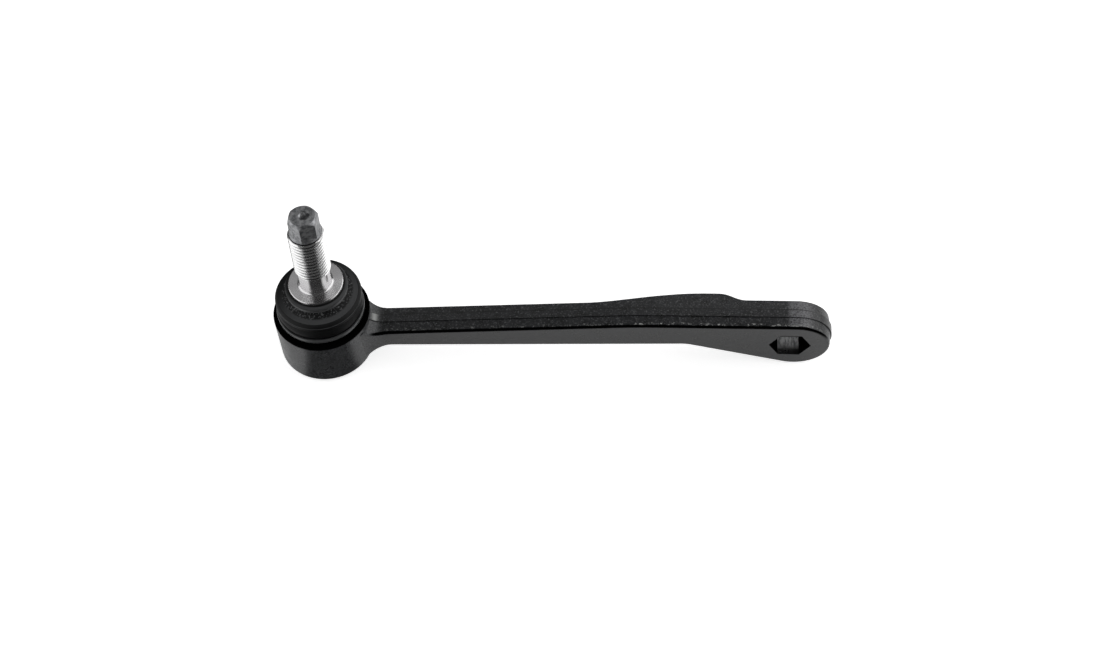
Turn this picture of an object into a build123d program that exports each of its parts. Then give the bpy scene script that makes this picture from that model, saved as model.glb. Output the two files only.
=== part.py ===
from build123d import *
import math
import os

# Stabilizer link: a forged arm with a ball joint at one end and a hexagonal eye at the other.
# Millimetres, +Z up along the ball stud, +X towards the eye, origin at the centre of the ball.

# Ball cup, heights measured from the ball's centre
ball_d = 18.0
ball_flat_d = 7.42
ball_clearance = 0.05
rim_height = 7.8
rim_d = 31.7
cup_draft_deg = 2.0
cup_edge_radius = 1.4
cup_cavity_d = 22.5
land_edge = 0.4

# Mouth and spigot of the cup, which the tilted neck of the stud must clear
mouth_seat_height = 5.0
mouth_seat_d = 16.4
mouth_slope_deg = 26.6
spigot_height = 2.8
spigot_wall = 1.5
spigot_groove_depth = 0.6
spigot_groove_height = 2.1

# Closing plate rolled into the bottom of the cup
plate_thickness = 1.4
plate_clearance = 0.5
plate_overhang = 1.4
plate_dish_depth = 0.5
plate_dish_d = 10.0
rolled_lip_thickness = 0.7
rolled_lip_overhang = 1.1
fit_gap = 0.05
shell_headroom = 0.4

# Ball stud, from the ball upwards
neck_d = 9.6
neck_fillet = 0.6
neck_top = 16.0
boot_seat_d = 13.2
boot_seat_length = 3.6
flange_d = 17.9
flange_thickness = 1.25
flange_edge = 0.25
seat_height = 23.45
shank_d = 10.4
shank_length = 7.45
shank_fillet = 0.9
thread_d = 12.0
thread_length = 18.2
lead_length = 2.5
lead_slope_deg = 32.0
tip_hex_flats = 9.0
tip_hex_length = 9.1
tip_hex_turn_deg = 22.0
tip_face_d = 8.2
tip_chamfer_height = 1.3

# Rubber boot with two folds
boot_gap = 0.05
boot_wall = 1.3
boot_lip_d = 20.5
boot_lip_thickness = 1.6
boot_neck_d = 18.3
boot_neck_height = 1.0
boot_crown_drop = 1.8
boot_crown_d = 25.2
upper_fold_d = 28.4
fold_groove_d = 26.4
fold_groove_share = 0.5
lower_fold_d = 28.2
collar_d = 27.2
collar_height = 3.0

# Clamp rings of the boot
clamp_ring_height = 1.3
clamp_ring_thickness = 0.75
clamp_ring_lift = 1.3
top_ring_wire_d = 0.9

# Forged arm, drawn on its parting plane, which is turned about X
blade_turn_deg = 6.0
blade_height = -2.4
eye_distance = 152.0
eye_drop = 10.2
eye_overhang = 1.6
eye_sag = 0.5
eye_d = 24.0
eye_thickness = 10.8
arm_thickness = 9.8
arm_front = 5.3
arm_top = 5.5
arm_root_depth = 4.0
arm_bend_depth = 8.6
bottom_bend_distance = 34.0
bottom_bend_radius = 12.0
top_bend_distance = 50.0
top_bend_radius = 160.0
neck_length = 22.0
neck_reach = 14.9
neck_rise_radius = 6.0
neck_rise_gap = 4.15
root_flare_radius = 12.5
root_flare_lift = 0.3
swell_thickness = 13.4
swell_start_distance = 67.0
swell_peak_distance = 26.8
swell_flat = 4.0
swell_step_length = 9.5
forging_draft_deg = 7.0
forging_edge_radius = 1.0
flash_width = 2.8
flash_proud = 0.2

# Hexagonal hole of the eye
eye_hex_flats = 12.0
eye_hex_turn_deg = -6.0

# Sizes that follow from the ones above
ball_r = ball_d / 2
ball_flat_r = ball_flat_d / 2
ball_flat_depth = math.sqrt(ball_r**2 - ball_flat_r**2)
plate_top = -ball_flat_depth - plate_clearance
plate_bottom = plate_top - plate_thickness
cup_bottom = plate_bottom - rolled_lip_thickness
cup_depth = rim_height - cup_bottom
rim_r = rim_d / 2
cup_foot_r = rim_r - cup_depth * math.tan(math.radians(cup_draft_deg))
cavity_r = cup_cavity_d / 2
plate_seat_r = cavity_r + plate_overhang
spigot_top = rim_height + spigot_height
mouth_widening = (spigot_top - mouth_seat_height) * math.tan(math.radians(mouth_slope_deg))
spigot_r = mouth_seat_d / 2 + mouth_widening + spigot_wall
groove_r = spigot_r - spigot_groove_depth
groove_top = rim_height + spigot_groove_height

boot_top = seat_height - flange_thickness - boot_gap
boot_seat_low = boot_top + boot_gap - boot_seat_length
boot_lip_low = boot_top - boot_lip_thickness
boot_neck_low = boot_lip_low - boot_neck_height
collar_top = rim_height + collar_height
crown_height = boot_neck_low - boot_crown_drop
fold_groove_height = collar_top + fold_groove_share * (crown_height - collar_top)
thread_start = seat_height + shank_length
thread_end = thread_start + thread_length
tip_height = thread_end + tip_hex_length

# The parting plane faces forward, with its own y axis up the side of the arm.
# The plan plane lies square to it, with its y axis towards the back of the arm.
# Sections of the cup are drawn on its side away from the arm.
away_from_arm = Plane(origin=(0, 0, 0), x_dir=(-1, 0, 0), z_dir=(0, 1, 0))
blade_turn = math.radians(blade_turn_deg)
parting = Plane(
    origin=(0, 0, blade_height),
    x_dir=(1, 0, 0),
    z_dir=(0, -math.cos(blade_turn), -math.sin(blade_turn)),
)
plan = Plane(
    origin=(0, 0, blade_height),
    x_dir=(1, 0, 0),
    z_dir=(0, -math.sin(blade_turn), math.cos(blade_turn)),
)
arm_back = arm_thickness - arm_front
eye_back = eye_thickness - arm_front
swell_back = swell_thickness - arm_front
eye_r = eye_d / 2
eye_centre = eye_distance + eye_overhang
eye_low = -eye_drop - eye_sag
eye_end = eye_centre + eye_r
swell_start = eye_distance - swell_start_distance
swell_peak = eye_distance - swell_peak_distance
swell_end = swell_peak + swell_flat
eye_face_start = swell_end + swell_step_length
blade_span = eye_drop + eye_r + arm_top
neck_rise_start = rim_r + neck_rise_gap
neck_rise = rim_height - land_edge - blade_height - arm_top - flash_proud
neck_rise_turn_deg = math.degrees(math.acos(1 - neck_rise / neck_rise_radius))
root_flare_drop = blade_height - cup_bottom - arm_root_depth - root_flare_lift
root_flare_turn_deg = math.degrees(math.acos(1 - root_flare_drop / root_flare_radius))
forging_depth = 1.5 * swell_thickness


# Point where a line from outside touches the eye's circle, on the side that is +1 for its top
def eye_tangent(point: tuple[float, float], radius: float, side: int) -> Vector:
    towards = math.atan2(point[1] - eye_low, point[0] - eye_centre)
    reach = math.hypot(point[0] - eye_centre, point[1] - eye_low)
    angle = towards - side * math.acos(radius / reach)
    return Vector(eye_centre + radius * math.cos(angle), eye_low + radius * math.sin(angle))


# Side view of the arm and the eye, grown outwards by a margin
def blade_outline(margin: float) -> Sketch:
    radius = eye_r + margin
    top_bend = (eye_distance - top_bend_distance, arm_top + margin)
    bottom_bend = (eye_distance - bottom_bend_distance, -arm_bend_depth - margin)
    root = (neck_length, -arm_root_depth - margin)
    top_tangent = eye_tangent(top_bend, radius, 1)
    bottom_tangent = eye_tangent(bottom_bend, radius, -1)
    with BuildSketch(parting) as outline:
        with BuildLine():
            Line(top_bend, top_tangent)
            ThreePointArc(top_tangent, (eye_centre + radius, eye_low), bottom_tangent)
            Polyline(bottom_tangent, bottom_bend, root)
            flare = JernArc(root, (-1, 0), root_flare_radius, root_flare_turn_deg)
            rise = JernArc((neck_rise_start, top_bend[1]), (-1, 0), neck_rise_radius, -neck_rise_turn_deg)
            Polyline(flare @ 1, (0, (flare @ 1).Y), (0, (rise @ 1).Y), rise @ 1)
            Line(rise @ 0, top_bend)
        make_face()
        bends = outline.vertices()
        fillet(bends.sort_by_distance(Vector(*top_bend))[0], top_bend_radius)
        bends = outline.vertices()
        fillet(bends.sort_by_distance(Vector(*bottom_bend))[0], bottom_bend_radius)
    return outline.sketch


# Flare from the arm's side that runs out along a circle just inside the cup
def neck_flare(root: tuple[float, float]) -> Edge:
    half = abs(root[1])
    radius = (neck_length**2 - neck_reach**2 + half**2) / (2 * (neck_reach - half))
    turn = math.degrees(math.atan2(neck_length, half + radius))
    return JernArc(root, (-1, 0), radius, -math.copysign(turn, root[1]))


# Forged body: cup, neck, arm and eye in one piece
with BuildPart() as link_body:
    # The arm is the side view with draft both ways, cut to its plan, which swells before the eye
    extrude(blade_outline(0), amount=forging_depth / 2, both=True, taper=forging_draft_deg)
    with BuildSketch(plan):
        with BuildLine():
            back_root = (neck_length, arm_back)
            front_root = (neck_length, -arm_front)
            back_flare = neck_flare(back_root)
            front_flare = neck_flare(front_root)
            Polyline(back_flare @ 1, (0, (back_flare @ 1).Y), (0, (front_flare @ 1).Y), front_flare @ 1)
            Line(back_root, (swell_start, arm_back))
            Spline((swell_start, arm_back), (swell_peak, swell_back), tangents=((1, 0), (1, 0)))
            Line((swell_peak, swell_back), (swell_end, swell_back))
            Spline((swell_end, swell_back), (eye_face_start, eye_back), tangents=((1, 0), (1, 0)))
            Polyline(
                (eye_face_start, eye_back),
                (eye_end + 1, eye_back),
                (eye_end + 1, -arm_front),
                front_root,
            )
        make_face()
    extrude(amount=2 * blade_span, both=True, mode=Mode.INTERSECT)

    # Outside of the cup and the spigot that holds the boot
    with BuildSketch(away_from_arm) as cup_section:
        with BuildLine():
            Polyline(
                (0, cup_bottom),
                (cup_foot_r, cup_bottom),
                (rim_r, rim_height),
                (groove_r, rim_height),
                (groove_r, groove_top),
                (spigot_r, groove_top),
                (spigot_r, spigot_top),
                (0, spigot_top),
                close=True,
            )
        make_face()
        corners = cup_section.vertices()
        fillet(corners.sort_by_distance(Vector(cup_foot_r, cup_bottom))[0], cup_edge_radius)
        corners = cup_section.vertices()
        chamfer(corners.sort_by_distance(Vector(rim_r, rim_height))[0], land_edge)
    revolve(axis=Axis.Z)

    # Rounded edges of the forging
    wide_faces = link_body.faces().filter_by(
        lambda f: f.center().X > rim_r and abs(f.normal_at().dot(parting.z_dir)) > 0.8
    )
    forged_edges = link_body.edges().filter_by(
        lambda e: e.center().X > rim_r and sum(e in f.edges() for f in wide_faces) == 1
    )
    fillet(forged_edges, forging_edge_radius)

    # Trimmed flash all round the parting line
    extrude(blade_outline(flash_proud), amount=flash_width / 2, both=True)

    # Bore of the ball joint, with the mouth above it and the rolled lip below it
    with BuildSketch(away_from_arm):
        with BuildLine():
            Polyline(
                (0, cup_bottom - 1),
                (plate_seat_r - rolled_lip_overhang, cup_bottom - 1),
                (plate_seat_r - rolled_lip_overhang, plate_bottom),
                (plate_seat_r, plate_bottom),
                (plate_seat_r, plate_top),
                (cavity_r, plate_top),
                (cavity_r, mouth_seat_height),
                (mouth_seat_d / 2, mouth_seat_height),
                (mouth_seat_d / 2 + mouth_widening, spigot_top),
                (0, spigot_top),
                close=True,
            )
        make_face()
    revolve(axis=Axis.Z, mode=Mode.SUBTRACT)

    # Hexagonal hole through the eye
    with BuildSketch(parting):
        with Locations((eye_distance, -eye_drop)):
            RegularPolygon(eye_hex_flats / 2, 6, major_radius=False, rotation=eye_hex_turn_deg)
    extrude(amount=forging_depth, both=True, mode=Mode.SUBTRACT)

# Moulded bearing shell around the ball
shell_r = cavity_r - fit_gap
shell_top = mouth_seat_height - shell_headroom
with BuildPart() as bearing_shell:
    with BuildSketch(Plane.XZ):
        with BuildLine():
            Polyline((0, plate_top), (shell_r, plate_top), (shell_r, shell_top), (0, shell_top), close=True)
        make_face()
    revolve(axis=Axis.Z)
    Sphere(ball_r + ball_clearance, mode=Mode.SUBTRACT)

# Round plate that closes the cup, dished in the middle
plate_r = plate_seat_r - fit_gap
dish_slope = 2 * plate_dish_depth
with BuildPart() as cover_plate:
    with BuildSketch(Plane.XZ):
        with BuildLine():
            Polyline(
                (0, plate_top - plate_dish_depth),
                (plate_dish_d / 2, plate_top - plate_dish_depth),
                (plate_dish_d / 2 + dish_slope, plate_top),
                (plate_r, plate_top),
                (plate_r, plate_bottom),
                (plate_dish_d / 2 + dish_slope, plate_bottom),
                (plate_dish_d / 2, plate_bottom - plate_dish_depth),
                (0, plate_bottom - plate_dish_depth),
                close=True,
            )
        make_face()
    revolve(axis=Axis.Z)

# Ball stud: hexagonal tip first, then the turned body below it
tip_corner_r = tip_hex_flats / math.sqrt(3)
lead_narrowing = lead_length * math.tan(math.radians(lead_slope_deg))
ball_top = math.sqrt(ball_r**2 - (neck_d / 2) ** 2)
flange_bottom = seat_height - flange_thickness
with BuildPart() as ball_stud:
    with BuildSketch(Plane.XY.offset(thread_end)):
        RegularPolygon(tip_hex_flats / 2, 6, major_radius=False, rotation=tip_hex_turn_deg)
    extrude(amount=tip_hex_length)
    with BuildSketch(Plane.XZ):
        with BuildLine():
            Polyline(
                (0, thread_end),
                (tip_corner_r, thread_end),
                (tip_corner_r, tip_height - tip_chamfer_height),
                (tip_face_d / 2, tip_height),
                (0, tip_height),
                close=True,
            )
        make_face()
    revolve(axis=Axis.Z, mode=Mode.INTERSECT)
    with BuildSketch(Plane.XZ) as stud_section:
        with BuildLine():
            ThreePointArc((ball_flat_r, -ball_flat_depth), (ball_r, 0), (neck_d / 2, ball_top))
            Polyline(
                (neck_d / 2, ball_top),
                (neck_d / 2, neck_top),
                (boot_seat_d / 2, boot_seat_low),
                (boot_seat_d / 2, flange_bottom),
                (flange_d / 2, flange_bottom),
                (flange_d / 2, seat_height),
                (shank_d / 2, seat_height),
                (shank_d / 2, thread_start),
                (thread_d / 2, thread_start),
                (thread_d / 2, thread_end),
                (thread_d / 2 - lead_narrowing, thread_end + lead_length),
                (0, thread_end + lead_length),
                (0, -ball_flat_depth),
                (ball_flat_r, -ball_flat_depth),
            )
        make_face()
        corners = stud_section.vertices()
        fillet(corners.sort_by_distance(Vector(neck_d / 2, ball_top))[0], neck_fillet)
        corners = stud_section.vertices()
        fillet(corners.sort_by_distance(Vector(neck_d / 2, neck_top))[0], neck_d / 2)
        corners = stud_section.vertices()
        fillet(corners.sort_by_distance(Vector(shank_d / 2, seat_height))[0], shank_fillet)
        corners = stud_section.vertices()
        chamfer(corners.sort_by_distance(Vector(flange_d / 2, seat_height))[0], flange_edge)
        corners = stud_section.vertices()
        chamfer(corners.sort_by_distance(Vector(flange_d / 2, flange_bottom))[0], flange_edge)
        corners = stud_section.vertices()
        chamfer(
            corners.sort_by_distance(Vector(thread_d / 2, thread_start))[0],
            (thread_d - shank_d) / 2 - fit_gap,
        )
    revolve(axis=Axis.Z)

# Boot: collar round the spigot, two folds, flat crown and a lip under the flange of the stud
collar_r = collar_d / 2
boot_foot = rim_height + boot_gap
collar_bore_r = groove_r + boot_gap
collar_relief_r = spigot_r + boot_gap
neck_ring_r = boot_neck_d / 2
boot_bore_r = boot_seat_d / 2 + boot_gap
lower_fold_middle = (collar_top + fold_groove_height) / 2
upper_fold_middle = (fold_groove_height + crown_height) / 2
with BuildPart() as boot:
    with BuildSketch(Plane.XZ):
        with BuildLine():
            # Outside, from the foot up
            Polyline((collar_bore_r, boot_foot), (collar_r, boot_foot), (collar_r, collar_top))
            ThreePointArc(
                (collar_r, collar_top),
                (lower_fold_d / 2, lower_fold_middle),
                (fold_groove_d / 2, fold_groove_height),
            )
            ThreePointArc(
                (fold_groove_d / 2, fold_groove_height),
                (upper_fold_d / 2, upper_fold_middle),
                (boot_crown_d / 2, crown_height),
            )
            crown = Line((boot_crown_d / 2, crown_height), (neck_ring_r, boot_neck_low))
            Polyline(
                crown @ 1,
                (neck_ring_r, boot_lip_low),
                (boot_lip_d / 2 - boot_lip_thickness / 2, boot_lip_low),
            )
            ThreePointArc(
                (boot_lip_d / 2 - boot_lip_thickness / 2, boot_lip_low),
                (boot_lip_d / 2, boot_lip_low + boot_lip_thickness / 2),
                (boot_lip_d / 2 - boot_lip_thickness / 2, boot_top),
            )
            # Inside, from the lip down
            Polyline(
                (boot_lip_d / 2 - boot_lip_thickness / 2, boot_top),
                (boot_bore_r, boot_top),
                (boot_bore_r, boot_neck_low - boot_wall),
                (boot_crown_d / 2 - boot_wall, crown_height - boot_wall),
            )
            ThreePointArc(
                (boot_crown_d / 2 - boot_wall, crown_height - boot_wall),
                (upper_fold_d / 2 - boot_wall, upper_fold_middle),
                (fold_groove_d / 2 - boot_wall, fold_groove_height),
            )
            ThreePointArc(
                (fold_groove_d / 2 - boot_wall, fold_groove_height),
                (lower_fold_d / 2 - boot_wall, lower_fold_middle),
                (collar_relief_r, collar_top),
            )
            Polyline(
                (collar_relief_r, collar_top),
                (collar_relief_r, groove_top - boot_gap),
                (collar_bore_r, groove_top - boot_gap),
                (collar_bore_r, boot_foot),
            )
        make_face()
    revolve(axis=Axis.Z)

# Band that clamps the collar of the boot on the spigot
clamp_ring_r = collar_r + boot_gap
clamp_ring_low = rim_height + clamp_ring_lift
with BuildPart() as boot_clamp_ring:
    with BuildSketch(Plane.XZ) as band_section:
        with Locations((clamp_ring_r, clamp_ring_low)):
            Rectangle(clamp_ring_thickness, clamp_ring_height, align=(Align.MIN, Align.MIN))
        fillet(band_section.vertices(), clamp_ring_thickness / 3)
    revolve(axis=Axis.Z)

# Wire ring in the neck groove of the boot
with BuildPart() as boot_top_ring:
    with BuildSketch(Plane.XZ):
        with Locations((neck_ring_r + boot_gap + top_ring_wire_d / 2, boot_lip_low - boot_neck_height / 2)):
            Circle(top_ring_wire_d / 2)
    revolve(axis=Axis.Z)

link_body.part.label = "link_body"
bearing_shell.part.label = "bearing_shell"
cover_plate.part.label = "cover_plate"
ball_stud.part.label = "ball_stud"
boot.part.label = "boot"
boot_clamp_ring.part.label = "boot_clamp_ring"
boot_top_ring.part.label = "boot_top_ring"

os.makedirs("parts", exist_ok=True)
export_step(link_body.part, "parts/link_body.step")
export_step(bearing_shell.part, "parts/bearing_shell.step")
export_step(cover_plate.part, "parts/cover_plate.step")
export_step(ball_stud.part, "parts/ball_stud.step")
export_step(boot.part, "parts/boot.step")
export_step(boot_clamp_ring.part, "parts/boot_clamp_ring.step")
export_step(boot_top_ring.part, "parts/boot_top_ring.step")
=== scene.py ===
import logging
import math
from collections.abc import Sequence
from dataclasses import dataclass, field
from enum import Enum

import bmesh
import bpy
from mathutils import Matrix, Vector


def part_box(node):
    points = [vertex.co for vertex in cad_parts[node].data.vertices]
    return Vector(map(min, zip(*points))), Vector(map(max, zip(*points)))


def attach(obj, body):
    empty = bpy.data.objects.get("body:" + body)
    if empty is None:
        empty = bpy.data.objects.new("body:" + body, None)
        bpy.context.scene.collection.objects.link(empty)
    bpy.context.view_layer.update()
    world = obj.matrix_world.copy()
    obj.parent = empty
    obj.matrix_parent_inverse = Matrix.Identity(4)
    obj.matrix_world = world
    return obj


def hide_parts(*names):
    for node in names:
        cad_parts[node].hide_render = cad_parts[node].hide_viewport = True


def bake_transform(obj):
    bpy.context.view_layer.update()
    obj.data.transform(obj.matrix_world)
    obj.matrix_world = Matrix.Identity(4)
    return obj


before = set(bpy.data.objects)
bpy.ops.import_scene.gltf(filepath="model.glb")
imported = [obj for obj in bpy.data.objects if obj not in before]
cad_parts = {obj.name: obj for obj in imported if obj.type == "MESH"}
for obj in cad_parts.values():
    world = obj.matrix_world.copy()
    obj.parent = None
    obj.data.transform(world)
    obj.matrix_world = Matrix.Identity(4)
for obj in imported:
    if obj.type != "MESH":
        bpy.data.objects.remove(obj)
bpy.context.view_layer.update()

# A stabilizer link: forged and painted arm, ball stud with a rolled thread, and a rubber boot.
# Sizes are in millimetres in the part's frame, with the ball's centre at the origin and +Z up the stud.

log = logging.getLogger("stabilizer_link")

MM = 0.001
ROUND_STEPS = 160
SHARP_ANGLE_DEG = 32.0
MERGE_MM = 0.001
LEVEL_MM = 1e-4
QUARTER_TURN = 0.25
# Most of a noise pattern's values lie between these
NOISE_REACH = (0.3, 0.7)

Points = list[tuple[float, float]]
Profile = Sequence[tuple[float, float]]
Inputs = dict[str | int, object]
Values = dict[str, bpy.types.NodeSocket | float]


class Body(Enum):
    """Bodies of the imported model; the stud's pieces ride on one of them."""

    HOUSING = "housing"
    BOOT = "boot_body"
    TOP_RING = "top_ring"
    STUD = "stud"


class Slot(Enum):
    """Material slots of the record."""

    STUD = "stud_steel"
    BOOT = "boot_rubber"


class Kind(Enum):
    """Blender's node types that the finishes and the stage are made from."""

    ADD = "ShaderNodeAddShader"
    BACKGROUND = "ShaderNodeBackground"
    BUMP = "ShaderNodeBump"
    COORDINATES = "ShaderNodeTexCoord"
    DIFFUSE = "ShaderNodeBsdfDiffuse"
    GLOW = "ShaderNodeEmission"
    MAPPING = "ShaderNodeMapping"
    MATH = "ShaderNodeMath"
    MIX = "ShaderNodeMix"
    NOISE = "ShaderNodeTexNoise"
    OUTPUT = "ShaderNodeOutputMaterial"
    PRINCIPLED = "ShaderNodeBsdfPrincipled"
    RANGE = "ShaderNodeMapRange"
    RAYS = "ShaderNodeLightPath"
    SPLIT = "ShaderNodeSeparateXYZ"
    TRANSFORM = "ShaderNodeVectorTransform"
    VECTOR = "ShaderNodeVectorMath"
    WORLD = "ShaderNodeOutputWorld"


def linear(code: str) -> tuple[float, float, float, float]:
    """Turn an sRGB hex colour into linear values.

    Args:
        code: Six hex digits after a hash sign.

    Returns:
        Red, green, blue and an alpha of one.
    """
    values = []
    for start in (1, 3, 5):
        share = int(code[start : start + 2], 16) / 255
        values.append(share / 12.92 if share <= 0.04045 else ((share + 0.055) / 1.055) ** 2.4)
    return (*values, 1.0)


def add_node(
    tree: bpy.types.NodeTree, kind: Kind, inputs: Inputs | None = None, **settings: object
) -> bpy.types.Node:
    """Add a shader node, with its settings made and its inputs linked or set.

    Args:
        tree: Node tree of a material or the world.
        kind: The node's type.
        inputs: Output sockets to link or values to set, by input name or index.
        settings: Properties of the node.

    Returns:
        The new node.
    """
    made = tree.nodes.new(kind.value)
    for name, value in settings.items():
        setattr(made, name, value)
    for key, value in (inputs or {}).items():
        if isinstance(value, bpy.types.NodeSocket):
            tree.links.new(value, made.inputs[key])
        else:
            made.inputs[key].default_value = value
    return made


def around_axis(tree: bpy.types.NodeTree, place: bpy.types.NodeSocket) -> bpy.types.NodeSocket:
    """Direction of the tool marks that run round the stud's axis.

    Args:
        tree: Node tree of a material.
        place: The piece's own coordinates.

    Returns:
        A tangent in the scene's directions.
    """
    ring = add_node(tree, Kind.VECTOR, {0: (0, 0, 1), 1: place}, operation="CROSS_PRODUCT").outputs[0]
    turned = add_node(
        tree, Kind.TRANSFORM, {"Vector": ring}, vector_type="VECTOR", convert_from="OBJECT", convert_to="WORLD"
    ).outputs[0]
    return add_node(tree, Kind.VECTOR, {0: turned}, operation="NORMALIZE").outputs[0]


def off_axis(tree: bpy.types.NodeTree, place: bpy.types.NodeSocket) -> bpy.types.NodeSocket:
    """Distance of a point from the stud's axis.

    Args:
        tree: Node tree of a material.
        place: The piece's own coordinates.

    Returns:
        The distance in metres.
    """
    flat = add_node(tree, Kind.VECTOR, {0: place, 1: (1, 1, 0)}, operation="MULTIPLY").outputs[0]
    return add_node(tree, Kind.VECTOR, {0: flat}, operation="LENGTH").outputs["Value"]


def new_surface(name: str, principled: Inputs) -> tuple[bpy.types.Material, bpy.types.Node, bpy.types.NodeSocket]:
    """Start a material from one Principled shader.

    Args:
        name: Name of the material and how it was made.
        principled: Values for the shader's own sockets.

    Returns:
        The material, its shader and the piece's own coordinates in metres.
    """
    material = bpy.data.materials.new(name)
    material.use_nodes = True
    tree = material.node_tree
    tree.nodes.clear()
    shader = add_node(tree, Kind.PRINCIPLED, principled)
    add_node(tree, Kind.OUTPUT, {"Surface": shader.outputs["BSDF"]})
    return material, shader, add_node(tree, Kind.COORDINATES).outputs["Object"]


@dataclass(frozen=True)
class Grain:
    """Fine pattern of a surface: the size of its features, how far they are drawn out and how deep they are."""

    size_mm: float
    detail: float
    roughness: float = 0.5
    stretch: tuple[float, float, float] = (1.0, 1.0, 1.0)
    depth_mm: float = 0.0
    strength: float = 1.0

    def inputs(self, place: bpy.types.NodeSocket) -> Inputs:
        """Values for a noise node at these coordinates."""
        scale = 1 / (self.size_mm * MM)
        return {"Vector": place, "Scale": scale, "Detail": self.detail, "Roughness": self.roughness}


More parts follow.
